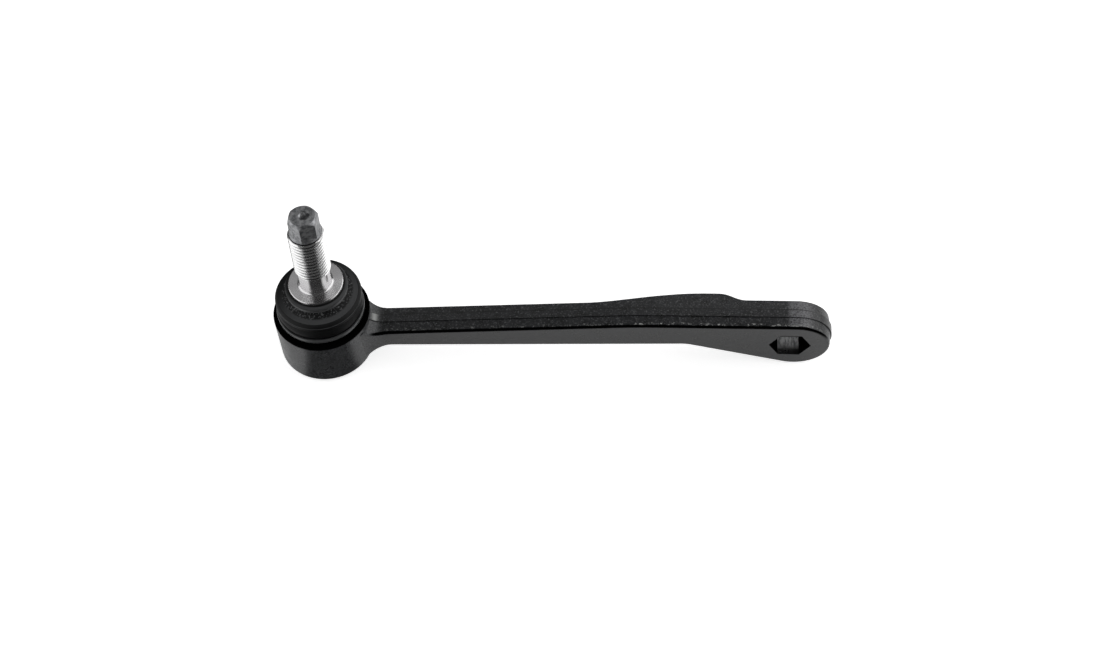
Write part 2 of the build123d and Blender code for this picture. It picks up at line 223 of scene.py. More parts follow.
@dataclass(frozen=True)
class PaintedForging:
    """Black electrocoat over hot-forged steel: a satin coat that shows the scale-pitted skin below, with painted light
    and shade in places.
    """

    coat_dark: str = "#0f1011"
    coat_light: str = "#1f2022"
    cup_dark: str = "#2a2b2c"
    cup_light: str = "#525355"
    scuffed: str = "#5c5d5f"
    # Also the colour of the painted highlight on the climb to the cup
    worn_steel_and_highlight: str = "#a9aaa8"
    # Greys of the hole's up-facing floor, painted light over the broach's chatter marks
    broached_dark: str = "#858688"
    lit_broached: str = "#e2e3e4"
    # Painted highlight on the eye's crown
    crown_highlight: str = "#77777a"
    # Painted shade on the hole's other walls and towards its front
    hole_shade_black: str = "#060606"
    # Black of painted shade on the front's rounded edge, the cup's rim and the flash's step
    shaded_black: str = "#040404"
    # Blasting leaves pits of 0.1 to 0.3 mm, too fine to show, so the skin is drawn at 0.55 mm
    skin: Grain = Grain(0.55, 5.0, 0.6, depth_mm=0.12)
    scale: Grain = Grain(3.6, 6.0, 0.6, depth_mm=0.25, strength=0.25)
    # A broach's chatter marks are about 0.2 mm apart, drawn at 0.6 mm so that they show
    chatter: Grain = Grain(0.6, 3.0, stretch=(1.0, 0.25, 1.0))
    rubbing: Grain = Grain(1.0, 3.0, 0.7, (0.6, 1.0, 1.0))
    # The trimming die's shear lines are about 0.3 mm apart, drawn at 1.1 mm so that they show
    shear: Grain = Grain(1.1, 4.0, stretch=(0.35, 3.0, 1.0))
    turn_deg: float = 6.0
    plane_height_mm: float = -2.4
    eye_mm: tuple[float, float] = (152.0, -10.2)
    hole_reach_mm: float = 7.0
    hole_fade_mm: tuple[float, float] = (1.6, 4.4)
    flash_half_mm: float = 1.45
    flash_fade: float = 0.7
    step_line_mm: tuple[float, float] = (0.35, 0.15)
    front_mm: float = 5.3
    rub_inset_mm: float = 1.1
    rub_line_mm: tuple[float, float] = (0.6, 0.3)
    rim_mm: tuple[float, float] = (6.7, 7.3)
    cup_end_mm: tuple[float, float] = (17.0, 15.5)
    arm_start_mm: tuple[float, float] = (15.5, 21.5)
    edge_start_mm: tuple[float, float] = (15.0, 17.0)
    climb_start_mm: tuple[float, float] = (15.8, 17.0)
    climb_end_mm: tuple[float, float] = (24.0, 21.0)
    far_arm_mm: tuple[float, float] = (95.0, 112.0)
    crown_start_mm: tuple[float, float] = (151.2, 153.2)
    crown_end_mm: tuple[float, float] = (161.0, 157.6)
    near_wear: float = 0.35
    # Share of the painted highlight on the climb to the cup
    climb_highlight_share: float = 0.95
    # Share of the painted highlight on the crown
    crown_highlight_share: float = 0.85
    cup_stretch: float = 0.6
    roughness: tuple[float, float] = (0.24, 0.36)
    specular: float = 0.5
    skin_strength: tuple[float, float] = (0.6, 0.22)

    def build(self) -> bpy.types.Material:
        """Make the material, in the coordinates of the turned blade where it needs them."""
        material, shader, place = new_surface(
            "black electrocoat on forged steel", {"Anisotropic Rotation": QUARTER_TURN}
        )
        tree = material.node_tree
        made = self.measures(tree, place)
        self.add_masks(tree, made)
        self.add_shares(tree, made)
        relief = self.relief(tree, made)
        (low, high), (least, most) = NOISE_REACH, self.roughness
        gloss = {"Value": made["scale"], "From Min": low, "From Max": high, "To Min": least, "To Max": most}
        shine = {"Value": made["dull"], "To Min": self.specular, "To Max": 0.0}
        dressed = {
            "Base Color": self.colour(tree, made),
            "Roughness": add_node(tree, Kind.RANGE, gloss).outputs[0],
            "Specular IOR Level": add_node(tree, Kind.RANGE, shine).outputs[0],
            "Normal": relief,
            # The cup is turned before it is painted, so its highlights stretch across the tool marks
            "Anisotropic": made["turned"],
            "Tangent": around_axis(tree, place),
        }
        for name, value in dressed.items():
            tree.links.new(value, shader.inputs[name])
        return material

    def measures(self, tree: bpy.types.NodeTree, place: bpy.types.NodeSocket) -> Values:
        """Measure where a point lies on the turned blade, which way it faces, and the grain of its skin.

        Args:
            tree: Node tree of the material.
            place: The piece's own coordinates.

        Returns:
            Sockets by name: places and distances in metres, directions and grains as shares.
        """
        turn = {"Rotation": (math.radians(self.turn_deg), 0, 0)}
        moved = {"Vector": place, "Location": (0, 0, self.plane_height_mm * MM), **turn}
        blade = add_node(tree, Kind.MAPPING, moved, vector_type="TEXTURE").outputs[0]
        normal = add_node(tree, Kind.COORDINATES).outputs["Normal"]
        outward = add_node(tree, Kind.MAPPING, {"Vector": normal, **turn}, vector_type="TEXTURE").outputs[0]
        spot = add_node(tree, Kind.SPLIT, {"Vector": blade}).outputs
        facing = add_node(tree, Kind.SPLIT, {"Vector": outward}).outputs
        made: Values = {
            "along": spot["X"],
            "back": spot["Y"],
            "height": add_node(tree, Kind.SPLIT, {"Vector": place}).outputs["Z"],
            "rightward": facing["X"],
            "backward": facing["Y"],
            "upward": facing["Z"],
            "sideways": add_node(tree, Kind.MATH, {0: facing["Y"]}, operation="ABSOLUTE").outputs[0],
        }
        planes = {"middle": 0.0, "step": self.flash_half_mm, "edge": self.rub_inset_mm - self.front_mm}
        for name, plane_mm in planes.items():
            shifted = add_node(tree, Kind.MATH, {0: spot["Y"], 1: plane_mm * MM}, operation="SUBTRACT").outputs[0]
            made[f"off {name}"] = add_node(tree, Kind.MATH, {0: shifted}, operation="ABSOLUTE").outputs[0]
        eye = (self.eye_mm[0] * MM, 0, self.eye_mm[1] * MM)
        from_eye = add_node(tree, Kind.VECTOR, {0: blade, 1: eye}, operation="SUBTRACT").outputs[0]
        across = add_node(tree, Kind.VECTOR, {0: from_eye, 1: (1, 0, 1)}, operation="MULTIPLY").outputs[0]
        made["reach"] = add_node(tree, Kind.VECTOR, {0: across}, operation="LENGTH").outputs["Value"]
        grains = {
            "skin": (place, self.skin),
            "scale": (place, self.scale),
            "chatter": (blade, self.chatter),
            "rubbing": (blade, self.rubbing),
            "shear": (blade, self.shear),
        }
        for name, (vector, grain) in grains.items():
            drawn = add_node(tree, Kind.VECTOR, {0: vector, 1: grain.stretch}, operation="MULTIPLY").outputs[0]
            made[name] = add_node(tree, Kind.NOISE, grain.inputs(drawn)).outputs["Fac"]
        return made

    def add_masks(self, tree: bpy.types.NodeTree, made: Values) -> None:
        """Add masks that rise softly from zero to one between two values of a measure.

        Args:
            tree: Node tree of the material.
            made: Sockets by name, to which the masks are added.
        """
        half = self.flash_half_mm
        lengths = {
            "arm": ("along", self.arm_start_mm),
            "edge start": ("along", self.edge_start_mm),
            "cup": ("along", self.cup_end_mm),
            "climb start": ("along", self.climb_start_mm),
            "climb end": ("along", self.climb_end_mm),
            "far arm": ("along", self.far_arm_mm),
            "crown start": ("along", self.crown_start_mm),
            "crown end": ("along", self.crown_end_mm),
            "hole depth": ("back", tuple(depth - self.front_mm for depth in self.hole_fade_mm)),
            "flash top": ("off middle", (half, self.flash_fade * half)),
            "step line": ("off step", self.step_line_mm),
            "edge line": ("off edge", self.rub_line_mm),
            "rim": ("height", self.rim_mm),
        }
        shares = {
            "light scale": ("scale", (0.35, 0.65)),
            "light skin": ("skin", (0.35, 0.7)),
            "high skin": ("skin", (0.5, 0.72)),
            "thin skin": ("skin", (0.25, 0.6)),
            "light chatter": ("chatter", (0.3, 0.6)),
            "rubbed spots": ("rubbing", (0.57, 0.62)),
            "narrow faces": ("sideways", (0.8, 0.5)),
            "wide faces": ("sideways", (0.75, 0.95)),
            "floor up": ("upward", (0.7, 0.9)),
            "crown up": ("upward", (0.6, 0.9)),
            "wear up": ("upward", (0.5, 0.8)),
            "edge up": ("upward", (0.12, 0.4)),
            "edge forward": ("backward", (-0.12, -0.4)),
            "climb": ("rightward", (0.25, 0.5)),
        }
        for unit, masks in ((MM, lengths), (1.0, shares)):
            for name, (measure, (low, high)) in masks.items():
                reach = {"Value": made[measure], "From Min": low * unit, "From Max": high * unit}
                made[name] = add_node(tree, Kind.RANGE, reach, interpolation_type="SMOOTHSTEP").outputs[0]

    def add_shares(self, tree: bpy.types.NodeTree, made: Values) -> None:
        """Add the share of each layer of the finish, from the masks.

        Args:
            tree: Node tree of the material.
            made: Sockets by name, to which the shares are added.
        """
        limits = {
            "near eye": ("reach", self.hole_reach_mm * MM),
            "on wall": ("sideways", 0.5),
            "flash band": ("off middle", self.flash_half_mm * MM),
        }
        for name, (measure, limit) in limits.items():
            made[name] = add_node(tree, Kind.MATH, {0: made[measure], 1: limit}, operation="LESS_THAN").outputs[0]
        for name, other in (("off eye", "near eye"), ("off arm", "arm")):
            made[name] = add_node(tree, Kind.MATH, {0: 1.0, 1: made[other]}, operation="SUBTRACT").outputs[0]
        wear = {"Value": made["far arm"], "To Min": self.near_wear}
        made["wear"] = add_node(tree, Kind.RANGE, wear).outputs[0]
        made.update({"crown_highlight_share": self.crown_highlight_share, "climb_highlight_share": self.climb_highlight_share, "cup stretch": self.cup_stretch})
        products = {
            "narrow side": ("narrow faces", "arm"),
            "scuffs": ("narrow side", "high skin"),
            "in hole": ("near eye", "on wall"),
            # Painted light on the hole's up-facing floor
            "lit hole floor": ("in hole", "floor up"),
            # Painted highlight on the up-facing crown of the eye
            "crown": ("crown start", "crown end", "crown up", "off eye", "thin skin", "crown_highlight_share"),
            # Painted shade at the flash's step
            "stepped": ("step line", "narrow side"),
            "rubbed": ("edge line", "rubbed spots", "wear up", "off eye", "wear", "arm"),
            # Painted highlight on the climb to the cup, on faces turned to the right
            "climb highlight": ("flash top", "climb", "climb end", "climb start", "climb_highlight_share"),
            "rounded edge": ("edge up", "edge forward", "edge start"),
            "cup rim": ("rim", "cup"),
            "flash": ("flash band", "arm"),
            "turned": ("off arm", "cup stretch"),
        }
        for name, (first, *others) in products.items():
            share = made[first]
            for other in others:
                share = add_node(tree, Kind.MATH, {0: share, 1: made[other]}, operation="MULTIPLY").outputs[0]
            made[name] = share
        walls = {0: made["in hole"], 1: made["lit hole floor"]}
        made["hole walls"] = add_node(tree, Kind.MATH, walls, operation="SUBTRACT").outputs[0]
        larger = {
            # Wear on the front's edge, and the painted highlight on the climb
            "worn": ("rubbed", "climb highlight"),
            # Painted shade on the front's rounded edge and the cup's rim
            "shaded": ("rounded edge", "cup rim"),
            "dull": ("shaded", "hole walls"),
            "smooth": ("wide faces", "off arm"),
        }
        for name, (first, second) in larger.items():
            both = {0: made[first], 1: made[second]}
            made[name] = add_node(tree, Kind.MATH, both, operation="MAXIMUM").outputs[0]

    def colour(self, tree: bpy.types.NodeTree, made: Values) -> bpy.types.NodeSocket:
        """Lay the colours of the finish over one another.

        Args:
            tree: Node tree of the material.
            made: Sockets by name.

        Returns:
            The colour.
        """
        tones = {
            "coat": ("light scale", self.coat_dark, self.coat_light),
            "cup tone": ("light skin", self.cup_dark, self.cup_light),
            "lit floor tone": ("light chatter", self.broached_dark, self.lit_broached),
        }
        for name, (share, dark, light) in tones.items():
            pair = {0: made[share], 6: linear(dark), 7: linear(light)}
            made[name] = add_node(tree, Kind.MIX, pair, data_type="RGBA").outputs[2]
        # Painted shade: the painted-light floor darkens to black towards the hole's front
        deep = {0: made["hole depth"], 6: linear(self.hole_shade_black), 7: made["lit floor tone"]}
        made["lit floor tone"] = add_node(tree, Kind.MIX, deep, data_type="RGBA").outputs[2]
        colour = made["cup tone"]
        layers = (
            ("arm", made["coat"]),
            ("scuffs", linear(self.scuffed)),
            # Painted light and shade in the hole left by the broach: its up-facing floor painted light grey as if lit,
            # its other walls painted black as shade
            ("in hole", linear(self.hole_shade_black)),
            ("lit hole floor", made["lit floor tone"]),
            # Painted highlight on the crown of the eye
            ("crown", linear(self.crown_highlight)),
            # Painted shade: a dark line where the flash steps down
            ("stepped", linear(self.shaded_black)),
            # Bright where the front's edge has rubbed, and a painted highlight where the flash climbs to the cup
            ("worn", linear(self.worn_steel_and_highlight)),
            # Painted shade, black and dull, on the front's rounded edge and on the cup's rim
            ("shaded", linear(self.shaded_black)),
        )
        for share, over in layers:
            colour = add_node(tree, Kind.MIX, {0: made[share], 6: colour, 7: over}, data_type="RGBA").outputs[2]
        return colour

    def relief(self, tree: bpy.types.NodeTree, made: Values) -> bpy.types.NodeSocket:
        """Raise the forged skin, sheared along the flash and smoother on the wide faces and the cup.

        Args:
            tree: Node tree of the material.
            made: Sockets by name.

        Returns:
            The normal.
        """
        pits = {0: made["flash"], 2: made["skin"], 3: made["shear"]}
        height = add_node(tree, Kind.MIX, pits, data_type="FLOAT").outputs[0]
        pitted, even = self.skin_strength
        depth = add_node(tree, Kind.RANGE, {"Value": made["smooth"], "To Min": pitted, "To Max": even}).outputs[0]
        fine = {"Height": height, "Strength": depth, "Distance": self.skin.depth_mm * MM}
        broad = {"Height": made["scale"], "Strength": self.scale.strength, "Distance": self.scale.depth_mm * MM}
        broad["Normal"] = add_node(tree, Kind.BUMP, fine).outputs[0]
        return add_node(tree, Kind.BUMP, broad).outputs[0]


@dataclass(frozen=True)
class TurnedSteel:
    """Zinc-plated turned steel: bright, with highlights drawn out across the fine rings of the tool."""

    colour: str = "#d4d3d4"
    roughness: float = 0.22
    stretch: float = 0.9

    def build(self) -> bpy.types.Material:
        """Make the material, whose tool marks run round the stud's axis."""
        material, shader, place = new_surface(
            "zinc-plated turned steel",
            {
                "Base Color": linear(self.colour),
                "Metallic": 1.0,
                "Roughness": self.roughness,
                "Anisotropic": self.stretch,
                "Anisotropic Rotation": QUARTER_TURN,
            },
        )
        tree = material.node_tree
        tree.links.new(around_axis(tree, place), shader.inputs["Tangent"])
        return material


@dataclass(frozen=True)
class RolledSteel:
    """Zinc-plated rolled thread: burnished flanks that mirror the light, and roots coloured near-black."""

    colour: str = "#eaeaea"
    root_dark: str = "#1a1a1b"
    root_mm: tuple[float, float] = (5.7, 5.25)
    mottle: Grain = Grain(1.5, 3.0)
    roughness: tuple[float, float] = (0.16, 0.26)

    def build(self) -> bpy.types.Material:
        """Make the material of the thread."""
        material, shader, place = new_surface("zinc-plated rolled thread", {"Metallic": 1.0})
        tree = material.node_tree
        outer, inner = (size * MM for size in self.root_mm)
        depth = {"Value": off_axis(tree, place), "From Min": outer, "From Max": inner}
        in_root = add_node(tree, Kind.RANGE, depth, interpolation_type="SMOOTHSTEP").outputs[0]
        steel = {0: in_root, 6: linear(self.colour), 7: linear(self.root_dark)}
        tree.links.new(add_node(tree, Kind.MIX, steel, data_type="RGBA").outputs[2], shader.inputs["Base Color"])
        mottle = add_node(tree, Kind.NOISE, self.mottle.inputs(place)).outputs["Fac"]
        (low, high), (least, most) = NOISE_REACH, self.roughness
        gloss = {"Value": mottle, "From Min": low, "From Max": high, "To Min": least, "To Max": most}
        tree.links.new(add_node(tree, Kind.RANGE, gloss).outputs[0], shader.inputs["Roughness"])
        return material


@dataclass(frozen=True)
class UpsetSteel:
    """Cold-headed steel with worn plating: dark grey, blotched where the oxide shows."""

    bright: str = "#a8a9ab"
    dark: str = "#747577"
    pitted: str = "#202122"
    pit_share: float = 0.75
    metal: float = 0.85
    roughness: float = 0.42
    blotch: Grain = Grain(1.4, 4.0, 0.6, depth_mm=0.08, strength=0.2)
    blotch_share: tuple[float, float] = (0.36, 0.62)
    pit_mm: tuple[float, float, float] = (0.9, -0.1, 58.0)
    pit_reach_mm: tuple[float, float] = (3.6, 2.6)
    ragged_mm: float = 3.0

    def build(self) -> bpy.types.Material:
        """Make the material of the hexagonal tip."""
        material, shader, place = new_surface(
            "cold-headed steel with worn plating", {"Metallic": self.metal, "Roughness": self.roughness}
        )
        tree = material.node_tree
        blotch = add_node(tree, Kind.NOISE, self.blotch.inputs(place)).outputs["Fac"]
        middle = tuple(size * MM for size in self.pit_mm)
        from_pit = add_node(tree, Kind.VECTOR, {0: place, 1: middle}, operation="DISTANCE").outputs["Value"]
        ragged = add_node(tree, Kind.MATH, {0: blotch, 1: self.ragged_mm * MM}, operation="MULTIPLY").outputs[0]
        reach = add_node(tree, Kind.MATH, {0: from_pit, 1: ragged}, operation="ADD").outputs[0]
        outside, inside = (size * MM for size in self.pit_reach_mm)
        masks = []
        for value, low, high in ((blotch, *self.blotch_share), (reach, outside, inside)):
            rise = {"Value": value, "From Min": low, "From Max": high}
            masks.append(add_node(tree, Kind.RANGE, rise, interpolation_type="SMOOTHSTEP").outputs[0])
        pit = add_node(tree, Kind.MATH, {0: masks[1], 1: self.pit_share}, operation="MULTIPLY").outputs[0]
        colour = linear(self.dark)
        for share, over in ((masks[0], self.bright), (pit, self.pitted)):
            pair = {0: share, 6: colour, 7: linear(over)}
            colour = add_node(tree, Kind.MIX, pair, data_type="RGBA").outputs[2]
        tree.links.new(colour, shader.inputs["Base Color"])
        relief = {"Height": blotch, "Strength": self.blotch.strength, "Distance": self.blotch.depth_mm * MM}
        tree.links.new(add_node(tree, Kind.BUMP, relief).outputs[0], shader.inputs["Normal"])
        return material


@dataclass(frozen=True)
class MouldedRubber:
    """Compression-moulded chloroprene: deep black, greyer on its ridges, partly rubbed and partly a painted sheen on
    the side towards the light, with dust in its groove.
    """

    black: str = "#0b0c0d"
    # Grey of the ridges, rubbed and painted with sheen on the side towards the light
    rubbed: str = "#434445"
    dusty: str = "#5c5d5e"
    shadowed: str = "#030303"
    # The mould's spark-eroded skin is finer than 0.1 mm, drawn at 0.5 mm so that it shows
    skin: Grain = Grain(0.5, 3.0, depth_mm=0.05, strength=0.25)
    dust: Grain = Grain(0.55, 2.0)
    speck_share: tuple[float, float] = (0.5, 0.66)
    roughness: float = 0.55
    specular: float = 0.22
    shoulder_mm: tuple[float, float] = (11.2, 11.9)
    under_flange_mm: tuple[float, float] = (9.5, 9.2)
    # Side towards the light, where the ridges' painted sheen lies
    lit_side_mm: tuple[float, float] = (-10.0, 9.0)
    lit_side_way: tuple[float, float, float] = (0.6, -0.8, 0.0)
    lip_low_mm: float = 20.4
    seam_height_mm: float = 16.4
    seam_mm: tuple[float, float] = (0.2, 0.06)
    groove_low_mm: float = 17.6

    def build(self) -> bpy.types.Material:
        """Make the material of the boot."""
        material, shader, place = new_surface(
            "moulded black rubber", {"Roughness": self.roughness, "Specular IOR Level": self.specular}
        )
        tree = material.node_tree
        skin = add_node(tree, Kind.NOISE, self.skin.inputs(place)).outputs["Fac"]
        height = add_node(tree, Kind.SPLIT, {"Vector": place}).outputs["Z"]
        shifted = {0: height, 1: self.seam_height_mm * MM}
        off_seam = add_node(tree, Kind.MATH, shifted, operation="SUBTRACT").outputs[0]
        way = {0: place, 1: self.lit_side_way}
        made: Values = {
            "radius": off_axis(tree, place),
            "off seam": add_node(tree, Kind.MATH, {0: off_seam}, operation="ABSOLUTE").outputs[0],
            "outward": add_node(tree, Kind.VECTOR, way, operation="DOT_PRODUCT").outputs["Value"],
            "dust": add_node(tree, Kind.NOISE, self.dust.inputs(place)).outputs["Fac"],
        }
        masks = {
            "wide": ("radius", self.shoulder_mm, MM),
            "under flange": ("radius", self.under_flange_mm, MM),
            "seam": ("off seam", self.seam_mm, MM),
            "lit_side": ("outward", self.lit_side_mm, MM),
            "specks": ("dust", self.speck_share, 1.0),
        }
        for name, (measure, (low, high), unit) in masks.items():
            reach = {"Value": made[measure], "From Min": low * unit, "From Max": high * unit}
            made[name] = add_node(tree, Kind.RANGE, reach, interpolation_type="SMOOTHSTEP").outputs[0]
        steps = (
            ("crown", "GREATER_THAN", height, self.groove_low_mm * MM),
            ("lip", "GREATER_THAN", height, self.lip_low_mm * MM),
            ("shoulder", "MULTIPLY", "crown", "wide"),
            ("ridges", "MAXIMUM", "shoulder", "lip"),
            ("ridges", "MAXIMUM", "ridges", "seam"),
            # Painted sheen: the ridges are greyer only on the side towards the light
            ("worn", "MULTIPLY", "ridges", "lit_side"),
            ("groove", "SUBTRACT", "crown", "lip"),
            ("groove", "SUBTRACT", "groove", "shoulder"),
            ("dusty", "MULTIPLY", "groove", "specks"),
            ("shadow", "MULTIPLY", "under flange", "lip"),
        )
        for name, operation, *parts in steps:
            first, second = (made[part] if isinstance(part, str) else part for part in parts)
            made[name] = add_node(tree, Kind.MATH, {0: first, 1: second}, operation=operation).outputs[0]
        colour = linear(self.black)
        for share, over in (("worn", self.rubbed), ("dusty", self.dusty), ("shadow", self.shadowed)):
            pair = {0: made[share], 6: colour, 7: linear(over)}
            colour = add_node(tree, Kind.MIX, pair, data_type="RGBA").outputs[2]
        tree.links.new(colour, shader.inputs["Base Color"])
        relief = {"Height": skin, "Strength": self.skin.strength, "Distance": self.skin.depth_mm * MM}
        tree.links.new(add_node(tree, Kind.BUMP, relief).outputs[0], shader.inputs["Normal"])
        return material


@dataclass(frozen=True)
class CoatedSpring:
    """Spring steel with a glossy black coat."""

    colour: str = "#4c4d4e"
    roughness: float = 0.24
    coat: float = 0.3
    coat_roughness: float = 0.12
    ripple: Grain = Grain(2.0, 2.0, depth_mm=0.05, strength=0.3)

    def build(self) -> bpy.types.Material:
        """Make the material of the clamp rings."""
        material, shader, place = new_surface(
            "gloss-coated spring steel",
            {
                "Base Color": linear(self.colour),
                "Roughness": self.roughness,
                "Coat Weight": self.coat,
                "Coat Roughness": self.coat_roughness,
            },
        )
        tree = material.node_tree
        ripple = add_node(tree, Kind.NOISE, self.ripple.inputs(place)).outputs["Fac"]
        relief = {"Height": ripple, "Strength": self.ripple.strength, "Distance": self.ripple.depth_mm * MM}
        tree.links.new(add_node(tree, Kind.BUMP, relief).outputs[0], shader.inputs["Normal"])
        return material


@dataclass(frozen=True)
class MouldedAcetal:
    """Natural acetal, injection moulded: off-white with a waxy sheen."""

    colour: str = "#e4e1d6"
    roughness: float = 0.38
    subsurface: float = 0.1
    flow: Grain = Grain(3.0, 3.0, depth_mm=0.05, strength=0.2)

    def build(self) -> bpy.types.Material:
        """Make the material of the bearing shell."""
        material, shader, place = new_surface(
            "moulded natural acetal",
            {"Base Color": linear(self.colour), "Roughness": self.roughness, "Subsurface Weight": self.subsurface},
        )
        tree = material.node_tree
        flow = add_node(tree, Kind.NOISE, self.flow.inputs(place)).outputs["Fac"]
        relief = {"Height": flow, "Strength": self.flow.strength, "Distance": self.flow.depth_mm * MM}
        tree.links.new(add_node(tree, Kind.BUMP, relief).outputs[0], shader.inputs["Normal"])
        return material


def arc(centre: tuple[float, float], radius: float, start_deg: float, end_deg: float, steps: int = 8) -> Points:
    """Points of an arc in a profile.

    Args:
        centre: Distance from the axis and height of the centre.
        radius: Radius of the arc.
        start_deg: First angle, from the outward direction.
        end_deg: Last angle.
        steps: Number of chords.

    Returns:
        Pairs of distance from the axis and height.
    """
    points = []
    for step in range(steps + 1):
        angle = math.radians(start_deg + (end_deg - start_deg) * step / steps)
        points.append((centre[0] + radius * math.cos(angle), centre[1] + radius * math.sin(angle)))
    return points


def lathe(profile: Profile, closed: bool) -> bmesh.types.BMesh:
    """Spin a profile once round the stud's axis.

    Args:
        profile: Distances from the axis and heights, in millimetres.
        closed: Whether the last point joins the first.

    Returns:
        The closed shape.
    """
    mesh = bmesh.new()
    points = [mesh.verts.new((r * MM, 0, z * MM)) for r, z in profile]
    pairs = list(zip(points, points[1:]))
    if closed:
        pairs.append((points[-1], points[0]))
    edges = [mesh.edges.new(pair) for pair in pairs]
    bmesh.ops.spin(
        mesh,
        geom=points + edges,
        cent=(0, 0, 0),
        axis=(0, 0, 1),
        angle=math.tau,
        steps=ROUND_STEPS,
        use_merge=True,
    )
    bmesh.ops.remove_doubles(mesh, verts=mesh.verts, dist=MERGE_MM * MM)
    bmesh.ops.recalc_face_normals(mesh, faces=mesh.faces)
    return mesh


def finished(mesh: bmesh.types.BMesh, name: str, material: bpy.types.Material) -> bpy.types.Object:
    """Turn a bmesh into an object with smooth faces and sharp corners.

    Args:
        mesh: The shape, which is freed.
        name: Name of the piece.
        material: Its finish.

    Returns:
        The object, at the origin.
    """
    for face in mesh.faces:
        face.smooth = True
    for edge in mesh.edges:
        edge.smooth = len(edge.link_faces) < 2 or edge.calc_face_angle(0) < math.radians(SHARP_ANGLE_DEG)
    data = bpy.data.meshes.new(name)
    mesh.to_mesh(data)
    mesh.free()
    data.materials.append(material)
    piece = bpy.data.objects.new(name, data)
    bpy.context.scene.collection.objects.link(piece)
    return piece


def dress(node: str, material: bpy.types.Material) -> None:
    """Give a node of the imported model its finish.

    Args:
        node: Name of the node.
        material: Its finish.
    """
    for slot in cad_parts[node].material_slots:
        slot.material = material
    log.info("%s dressed in %s", node, material.name)


@dataclass
class Forging:
    """Forged body with the plate and shell that stay inside it."""

    paint: PaintedForging = field(default_factory=PaintedForging)
    acetal: MouldedAcetal = field(default_factory=MouldedAcetal)

    def build(self) -> None:
        """Dress the pieces of the housing."""
        paint = self.paint.build()
        dress("link_body", paint)
        dress("cover_plate", paint)
        dress("bearing_shell", self.acetal.build())


